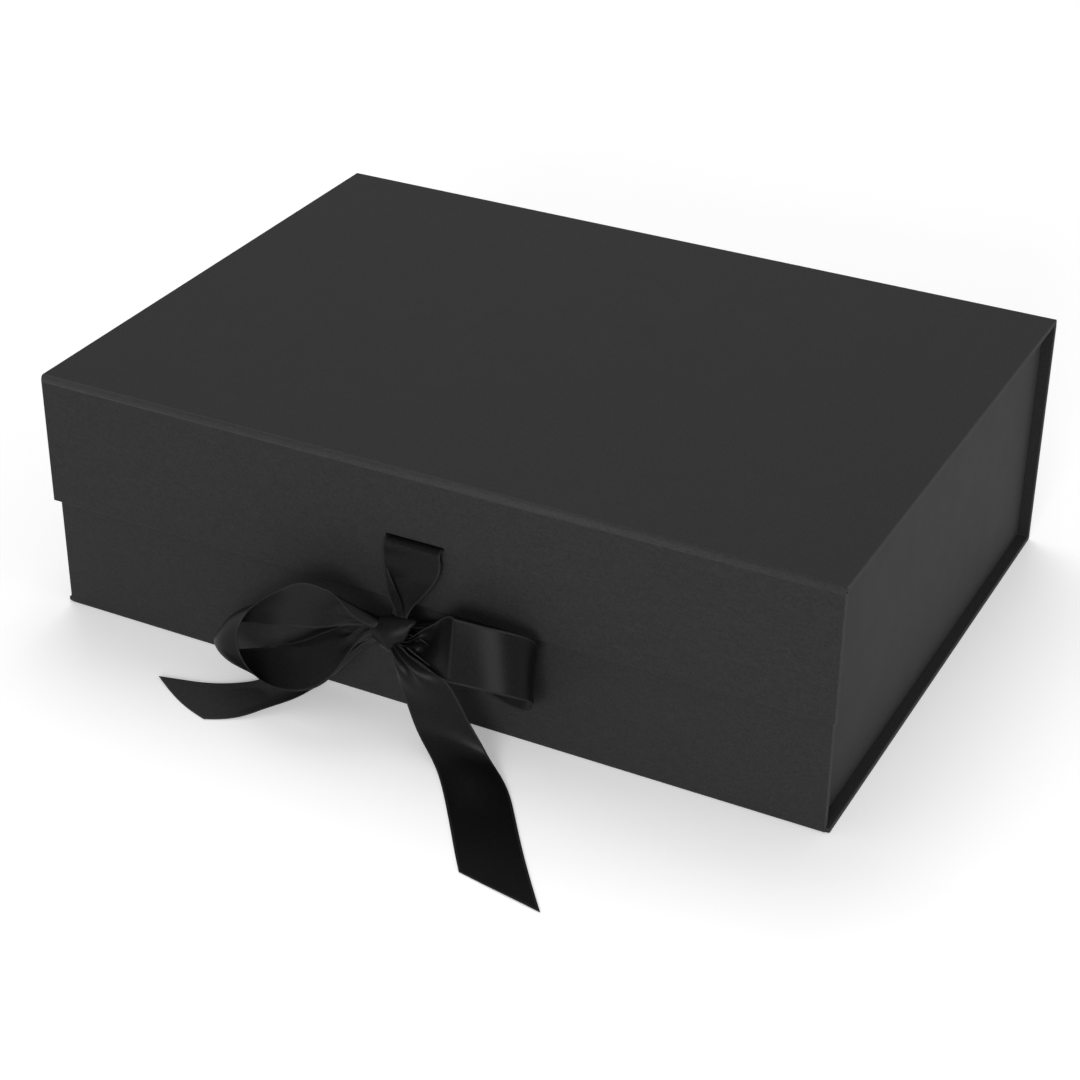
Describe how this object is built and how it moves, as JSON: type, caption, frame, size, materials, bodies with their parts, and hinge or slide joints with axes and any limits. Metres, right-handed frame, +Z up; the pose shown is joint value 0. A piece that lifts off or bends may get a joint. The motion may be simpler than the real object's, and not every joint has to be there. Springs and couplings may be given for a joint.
{
  "type": "gift box",
  "caption": "Matte black book-style rigid gift box: paper-wrapped tray, hinged lid with a magnetic front flap, closed by a satin ribbon tied in a bow.",
  "frame": {"origin": "middle of the closed case's footprint, on the underside of the base", "axes": "+X to the right seen from the front, +Y to the back (the hinge side), +Z up; the bow is at -Y"},
  "size_m": [0.35, 0.3361, 0.11],
  "materials": {
    "cover_paper": "matte wood-free wrap, fine fibre",
    "liner_paper": "matte",
    "greyboard": "raw grey board",
    "tab_board": "matte paper-wrapped thin board",
    "adhesive_tape": "double-sided tape",
    "keeper_steel": "zinc plated",
    "magnet": "nickel plated",
    "satin_ribbon": "satin weave with ribbed selvedges"
  },
  "bodies": {
    "tray": {"base_board": "greyboard", "base_cover_paper": "cover_paper", "base_liner": "liner_paper", "front_wall_board": "greyboard", "front_wall_cover_paper": "cover_paper", "front_wall_liner": "liner_paper", "catch_keepers": "keeper_steel", "spine_board": "greyboard", "spine_cover_paper": "cover_paper", "spine_liner": "liner_paper", "left_wall_board": "greyboard", "left_wall_paper": "cover_paper", "right_wall_board": "greyboard", "right_wall_paper": "cover_paper", "left_front_tab": "tab_board", "left_back_tab": "tab_board", "right_front_tab": "tab_board", "right_back_tab": "tab_board", "tab_tapes": "adhesive_tape", "rear_hinge_paper": "cover_paper", "lower_ribbon": "satin_ribbon"},
    "lid": {"lid_board": "greyboard", "lid_cover_paper": "cover_paper", "lid_liner": "liner_paper", "front_hinge_paper": "cover_paper"},
    "flap": {"flap_board": "greyboard", "flap_cover_paper": "cover_paper", "flap_liner": "liner_paper", "catch_magnets": "magnet", "upper_ribbon": "satin_ribbon", "bow_knot": "satin_ribbon", "bow_right_loop": "satin_ribbon", "bow_left_loop": "satin_ribbon", "bow_right_tail": "satin_ribbon", "bow_left_tail": "satin_ribbon"}
  },
  "joints": [
    {"name": "lid_hinge", "type": "hinge", "parent": "tray", "child": "lid", "pos_m": [0, 0.125, 0.1087], "axis": [-1, 0, 0], "range_deg": [0, 180]},
    {"name": "flap_hinge", "type": "hinge", "parent": "lid", "child": "flap", "pos_m": [0, -0.125, 0.1087], "axis": [-1, 0, 0], "range_deg": [0, 180]}
  ]
}
